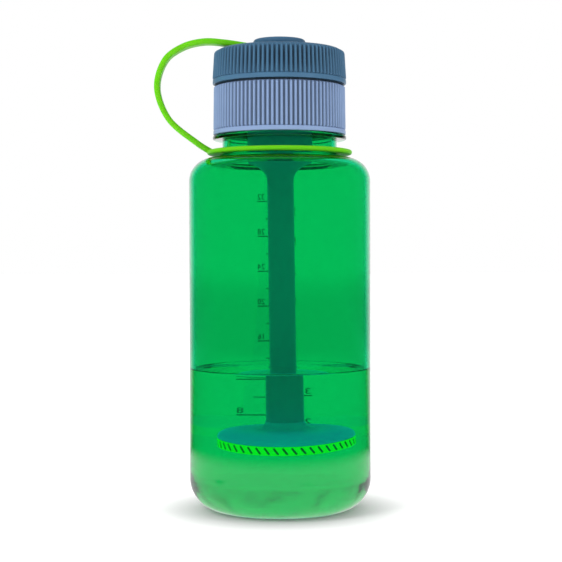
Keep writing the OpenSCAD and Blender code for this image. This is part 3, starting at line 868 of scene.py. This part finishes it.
def tether_half(whole, name, keep_cap):
    """The cap's half of the tether or the other one, as a mesh of its own."""
    # parted where the strap is level with the lid and clear of its side
    seam_x, high_z = -0.052, 0.225
    bm = bmesh.new()
    bm.from_mesh(whole)
    # the head of the knob and the lid's top leave only the ring's own thickness under them
    for v in bm.verts:
        r = math.hypot(v.co.x, v.co.y)
        if r < (knob_r + 0.6) * MM and v.co.z > cap_low * MM - 0.002:
            v.co.z = min(max(v.co.z, (cap_low + 0.02) * MM), (cap_low + CAP_RING_T + 0.05) * MM)
    geom = bm.verts[:] + bm.edges[:] + bm.faces[:]
    bmesh.ops.bisect_plane(bm, geom=geom, plane_co=(seam_x, 0, 0), plane_no=(1, 0, 0))
    middles = [(f, f.calc_center_median()) for f in bm.faces]
    drop = [f for f, middle in middles if (middle.x > seam_x and middle.z > high_z) != keep_cap]
    bmesh.ops.delete(bm, geom=drop, context="FACES")
    rim = [e for e in bm.edges if e.is_boundary]
    bmesh.ops.holes_fill(bm, edges=rim, sides=0)
    mesh = bpy.data.meshes.new(name)
    bm.to_mesh(mesh)
    bm.free()
    mesh.polygons.foreach_set("use_smooth", [True] * len(mesh.polygons))
    mesh.materials.clear()
    mesh.materials.append(lime_rubber)
    obj = linked(name, mesh)
    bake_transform(obj)
    return obj


def make_tether():
    """One moulding: both rings and the strap, fused and smoothed, then parted where two bodies meet."""
    whole = fused([
        strap_blank(),
        ring_blank("blank_ring", NECK_RING_BORE, neck_ring_r, neck_ring_z, neck_ring_z + TETHER_RING_T,
                   0.9, 1.1),
        ring_blank("blank_cap", CAP_RING_BORE, CAP_RING_R, cap_low, cap_low + CAP_RING_T, 0.6, 0.7),
    ])
    lower = tether_half(whole, "tether_strap", False)
    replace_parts(lower, "tether_lower", "tether_upper")
    upper = tether_half(whole, "tether_cap_loop", True)
    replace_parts(upper, "tether_cap_ring")


make_tether()


# ---------------------------------------------------------------- stem and diffuser

def make_stem():
    airway, stem_r, cup_wall, flare, cup_h = 4.8, 6.85, 1.5, 14, 26.5
    tube_top = cup_top - cup_h - flare

    def flared(inner, outer, lift):
        shares = [k / 28 for k in range(1, 28)]
        return [(inner + (outer - inner) * t ** 2.4, tube_top + lift + flare * t) for t in shares]

    outline = (
        [(airway, stem_foot), (7.0, stem_foot), (stem_r, tube_top)] + flared(stem_r, cup_r, 0)
        + soften([(cup_r - 1.4, cup_top - cup_h - 0.8, 0), (cup_r, cup_top - cup_h + 0.4, 1.2),
                  (cup_r, cup_top, 0.6), (cup_r - cup_wall, cup_top, 0.6),
                  (cup_r - cup_wall, cup_top - 4, 0)], closed=False)[1:]
        + flared(airway, cup_r - cup_wall, cup_wall)[::-1] + [(airway, tube_top)]
    )
    obj = lathe("down_stem", refine(outline, 6), stem_blue, "stem", 160)
    obj.data.transform(lean)
    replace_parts(obj, "stem_tube")


DOME_RISE = 5.3
FLAT_R = 11.8
rim_top = pan_top + 0.5


def dome_surface(t):
    """A point of the dome's outside, from its lower edge at t = 0 to the foot of its fillet at t = 1."""
    a = math.pi / 2 * t
    power = 2 / 2.8
    return (FLAT_R + (diffuser_r - 0.1 - FLAT_R) * math.cos(a) ** power,
            rim_top + 0.25 + DOME_RISE * math.sin(a) ** power)


def make_dome():
    edge_top = pan_top + 4.0
    hub, hub_out = 7.03, 8.43
    outline = [(4.8, edge_top - 2.4), (hub_out, edge_top - 2.4), (hub_out, edge_top - 0.6),
               (17.6, edge_top - 1.4), (20.6, rim_top + 0.05), (diffuser_r - 0.5, rim_top + 0.05)]
    outline += [dome_surface(k / 26) for k in range(27)]
    foot_z = dome_surface(1)[1]
    for k in range(1, 17):
        a = math.pi / 2 * k / 16
        rise = (dome_top - foot_z) * (1 - math.cos(a))
        outline.append((FLAT_R - (FLAT_R - hub - 0.3) * math.sin(a), foot_z + rise))
    outline += [(hub, dome_top), (hub, edge_top), (4.8, edge_top - 0.05)]
    obj = lathe("diffuser_dome_cap", refine(outline, 2), dome_blue, "stem", 192)
    # the mask along which the dome's painted glow grows, a painted lighter rim at its edge
    edge = obj.data.attributes.new("to_edge", "FLOAT", "POINT")
    edge.data.foreach_set("value", [
        float(ease(math.hypot(v.co.x, v.co.y) / MM, hub, diffuser_r)) for v in obj.data.vertices])
    obj.data.transform(lean)
    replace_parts(obj, "diffuser_dome")


PAN_WALL = 1.8


def slot_cutter():
    """All the slots of the pan's rim as one tool: slanted rounded bars that swirl inwards."""
    slots, around = 40, 14
    width, height, slant, swirl = 0.48, 2.0, math.radians(33), math.radians(34)
    mid = (diffuser_z + rim_top) / 2 + 0.1
    verts, faces = [], []
    for i in range(slots):
        spin = TURN * i / slots
        base = len(verts)
        for depth in (-PAN_WALL - 0.6, 0.8):
            for k in range(around):
                a = TURN * (k + 0.5) / around
                end = math.copysign(height - width, math.sin(a))
                y, z = width * math.cos(a), end + width * math.sin(a)
                y, z = y * math.cos(slant) - z * math.sin(slant), y * math.sin(slant) + z * math.cos(slant)
                y -= depth * math.tan(swirl)
                x = diffuser_r + depth
                verts.append(((x * math.cos(spin) - y * math.sin(spin)) * MM,
                              (x * math.sin(spin) + y * math.cos(spin)) * MM, (mid + z) * MM))
        for k in range(around):
            n = (k + 1) % around
            faces.append((base + k, base + n, base + around + n, base + around + k))
        faces.append(tuple(base + k for k in reversed(range(around))))
        faces.append(tuple(base + around + k for k in range(around)))
    return new_object("slot_cutter", verts, faces, diffuser_lime, None)


def make_pan():
    """The lime pan: a shallow cup whose rim is cut by slots."""
    floor, lip = 0.8, 1.5
    outline = soften([
        (0, diffuser_z, 0), (diffuser_r, diffuser_z, 1.0), (diffuser_r, rim_top, 0.3),
        (diffuser_r - PAN_WALL - lip, rim_top, 0.2), (diffuser_r - PAN_WALL - lip, rim_top - 0.9, 0.2),
        (diffuser_r - PAN_WALL, rim_top - 0.9, 0.2), (diffuser_r - PAN_WALL, diffuser_z + floor, 0.4),
        (0, diffuser_z + floor, 0),
    ], closed=False)
    pan = lathe("slotted_pan", refine(outline, 3), diffuser_lime, "diffuser", 240)
    pan.modifiers.clear()
    cutter = slot_cutter()
    cut = pan.modifiers.new("slots", "BOOLEAN")
    cut.object = cutter
    cut.solver = "EXACT"
    carved = evaluated(pan)
    pan.modifiers.clear()
    pan.data = carved
    bpy.data.objects.remove(cutter)
    pan.data.set_sharp_from_angle(angle=math.radians(40))

    def is_outer(face):
        """True on the rim's outside, and not on a slot's wall or under the pan."""
        middle = face.center
        outward = abs(middle.xy.normalized().dot(face.normal.xy)) > 0.3
        on_rim = middle.xy.length > (diffuser_r - 0.5) * MM and middle.z > (diffuser_z + 0.1) * MM
        return outward and on_rim

    # faces left out of this mask, the slot walls and the pan's underside, get painted shade and no painted
    # glow
    outer = pan.data.attributes.new("outer_face", "FLOAT", "FACE")
    outer.data.foreach_set("value", [float(is_outer(face)) for face in pan.data.polygons])
    pan.data.transform(lean)
    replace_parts(pan, "diffuser_pan")


def make_bubbles():
    """Small air bubbles that cling to the dome under water."""
    draw = random.Random(7)
    verts, faces = [], []
    for _ in range(38):
        a = draw.uniform(0, TURN)
        r, z = dome_surface(draw.uniform(0.15, 0.95))
        size = draw.uniform(0.16, 0.42)
        z += size * 0.5
        base = len(verts)
        rings, around = 8, 14
        for i in range(rings + 1):
            lat = math.pi * i / rings
            for k in range(around):
                lon = TURN * k / around
                verts.append(((r * math.cos(a) + size * math.sin(lat) * math.cos(lon)) * MM,
                              (r * math.sin(a) + size * math.sin(lat) * math.sin(lon)) * MM,
                              (z + size * 0.8 * math.cos(lat)) * MM))
        for i in range(rings):
            for k in range(around):
                n = (k + 1) % around
                p = base + i * around
                faces.append((p + k, p + n, p + around + n, p + around + k))
    mat, nodes, links, shader = base_material("bubble_skin")
    shader.inputs["Base Color"].default_value = (1, 1, 1, 1)
    shader.inputs["Transmission Weight"].default_value = 1
    shader.inputs["IOR"].default_value = 1.25
    shader.inputs["Roughness"].default_value = 0
    add_bump(nodes, links, shader, noise_node(nodes, links, 200, 2), 0.02, 0.0001)
    obj = new_object("clinging_bubbles", verts, faces, mat, "stem")
    obj.data.transform(lean)
    tidy = bmesh.new()
    tidy.from_mesh(obj.data)
    bmesh.ops.remove_doubles(tidy, verts=tidy.verts, dist=1e-7)
    tidy.to_mesh(obj.data)
    tidy.free()


make_stem()
make_dome()
make_pan()
make_bubbles()


# ---------------------------------------------------------------- deck, mouthpiece and bowl

def finish_cad_nodes():
    """The nodes whose CAD shape stays get a better material."""
    finishes = {"collar_deck": deck_slate, "stem_seal": silicone, "bowl_screen": steel,
                "lid_liner": silicone, "bowl_sleeve": silicone, "mouthpiece_seal": silicone}
    for node, material in finishes.items():
        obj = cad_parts[node]
        obj.data.materials.clear()
        obj.data.materials.append(material)


def make_mouthpiece():
    low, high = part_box("mouthpiece")
    spot = ((low.x + high.x) / 2 / MM, (low.y + high.y) / 2 / MM)
    z0, z1 = low.z / MM, high.z / MM
    bore, lip = 3.3, 4.7
    outline = soften([
        (bore, z0, 0.2), (lip, z0, 0.3), (lip, z0 + 2, 0.8), (4.1, z0 + 3, 0.8), (4.0, z1 - 3, 1.2),
        (lip, z1 - 1.4, 1.0), (4.6, z1, 0.7), (bore, z1, 0.6),
    ], steps=7)
    obj = lathe("drinking_spout", refine(outline, 2), lid_slate, "collar", 96, offset=spot)
    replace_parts(obj, "mouthpiece")


def make_bowl():
    rim_r, low, high = span("bowl")
    seat = high - 7.4
    draught, stem_r, inner_r = 3, 8.6, 6.8
    outline = soften([
        (draught, low, 0.3), (stem_r, low, 0.8), (stem_r, seat, 0.5), (11.8, seat, 1.2),
        (rim_r, high - 1.2, 1.4), (rim_r, high, 0.8), (12.4, high, 0.8), (inner_r, seat - 1, 3),
        (inner_r, low + 1.6, 0.5), (draught, low + 1.6, 0.3),
    ], steps=8)
    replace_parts(lathe("ceramic_bowl", refine(outline, 2), ceramic, "bowl", 160), "bowl")


finish_cad_nodes()
make_mouthpiece()
make_bowl()


# ---------------------------------------------------------------- floor, light and camera

def make_stage():
    """A white floor that glows, with a painted shadow round the bottle's foot and painted light that shows
    only in reflections and through the bottle.
    """
    mesh = bpy.data.meshes.new("floor")
    half = 9.0
    corners = [(-half, -half, 0), (half, -half, 0), (half, half, 0), (-half, half, 0)]
    mesh.from_pydata(corners, [], [(0, 1, 2, 3)])
    floor = linked("floor", mesh)
    mat, nodes, links, shader = base_material("white_floor")
    shader.inputs["Base Color"].default_value = (0.96, 0.96, 0.96, 1)
    shader.inputs["Roughness"].default_value = 0.9
    # painted light: the floor glows, less near the bottle's foot, which paints a shadow round it on top of
    # its real one;
    # in reflections and through the bottle it shows instead as sheets of painted light
    path = nodes.new("ShaderNodeLightPath")
    shader.inputs["Emission Color"].default_value = (1, 1, 1, 1)
    place = nodes.new("ShaderNodeNewGeometry").outputs["Position"]
    away = nodes.new("ShaderNodeVectorMath")
    away.operation = "LENGTH"
    links.new(place, away.inputs[0])
    bearing = nodes.new("ShaderNodeVectorMath")
    bearing.operation = "NORMALIZE"
    links.new(place, bearing.inputs[0])
    back = coordinates(nodes, links, place)["Y"]
    straight_back = coordinates(nodes, links, bearing.outputs["Vector"])["Y"]

    def smooth(value, start, end, low, high):
        return ramp(nodes, links, value, start, end, low, high, "SMOOTHSTEP")

    # painted shadow: the glow falls from 0.42 to 0.08 within about 72 mm of the bottle's axis
    links.new(smooth(away.outputs["Value"], 0.043, 0.072, 0.08, 0.42), shader.inputs["Emission Strength"])
    # painted reflection: mirrored in the bottle, the floor is bright far behind it and within about 0.2 m of
    # its axis
    mirrored = (smooth(straight_back, 0.72, 0.98, 0.012, 1),
                smooth(away.outputs["Value"], 0.27, 0.2, 0, 0.85))
    # seen through the bottle, a painted sheet that dims between about 0.85 m and 1.25 m behind it and
    # brightens again farther off
    seen_through = (smooth(back, 0.85, 1.25, 0.98, 0.76), smooth(back, 2.0, 8.5, 0.76, 0.98))
    sheets = []
    for pair in (mirrored, seen_through):
        sheet = nodes.new("ShaderNodeEmission")
        links.new(maths(nodes, links, "MAXIMUM", *pair), sheet.inputs["Strength"])
        sheets.append(sheet.outputs[0])
    surface = shader.outputs[0]
    for share, sheet in zip((path.outputs["Is Glossy Ray"], path.outputs["Is Transmission Ray"]), sheets):
        mix = nodes.new("ShaderNodeMixShader")
        links.new(share, mix.inputs[0])
        links.new(surface, mix.inputs[1])
        links.new(sheet, mix.inputs[2])
        surface = mix.outputs[0]
    links.new(surface, nodes["Material Output"].inputs["Surface"])
    mesh.materials.append(mat)


def area_light(name, place, target, size, power, shine):
    data = bpy.data.lights.new(name, "AREA")
    data.shape = "RECTANGLE"
    data.size, data.size_y = size
    data.energy = power
    data.specular_factor = shine
    lamp = linked(name, data)
    lamp.location = place
    lamp.visible_transmission = False
    lamp.visible_glossy = False
    lamp.rotation_euler = (Vector(target) - Vector(place)).to_track_quat("-Z", "Y").to_euler()


def make_light():
    """A white studio that is bright behind the bottle and dim on the camera's side."""
    world = bpy.data.worlds.new("studio")
    world.use_nodes = True
    nodes, links = world.node_tree.nodes, world.node_tree.links
    path = nodes.new("ShaderNodeLightPath")
    coords = nodes.new("ShaderNodeTexCoord")
    straight_back = coordinates(nodes, links, coords.outputs["Generated"])["Y"]

    def blend(low, high, share):
        """Mixes two strengths, each a number or a socket."""
        node = nodes.new("ShaderNodeMix")
        links.new(share, node.inputs[0])
        for socket, value in ((node.inputs[2], low), (node.inputs[3], high)):
            if isinstance(value, float):
                socket.default_value = value
            else:
                links.new(value, socket)
        return node.outputs[0]

    def behind(start, end):
        return ramp(nodes, links, straight_back, start, end, kind="SMOOTHSTEP")

    soft = blend(0.45, 0.95, behind(-0.75, 0.35))
    mirrored = blend(0.012, 1.0, behind(0.72, 0.98))
    strength = blend(soft, mirrored, path.outputs["Is Glossy Ray"])
    strength = blend(strength, 1.0, path.outputs["Is Transmission Ray"])
    strength = blend(strength, 1.0, path.outputs["Is Camera Ray"])
    nodes["Background"].inputs["Color"].default_value = (1, 1, 1, 1)
    links.new(strength, nodes["Background"].inputs["Strength"])
    bpy.context.scene.world = world
    area_light("key", (-0.9, -0.8, 0.9), (0, 0, 0.15), (0.5, 0.9), 7, 0.15)
    area_light("fill", (0.9, -0.6, 0.5), (0, 0, 0.12), (0.4, 0.9), 2.5, 0.1)
    bpy.context.scene.view_settings.view_transform = "Standard"


def make_camera():
    """Level with the bottle's middle, looking along +Y and slightly down."""
    focal = 89.7
    distance, height, drop, roll = 0.7245, 0.131, 1.06, 0.15
    data = bpy.data.cameras.new("camera")
    data.lens = focal
    data.sensor_width = 36
    cam = linked("camera", data)
    cam.location = (0.0006, -distance, height)
    cam.rotation_euler = (math.radians(90 - drop), math.radians(roll), 0)
    bpy.context.scene.camera = cam


make_stage()
make_light()
make_camera()
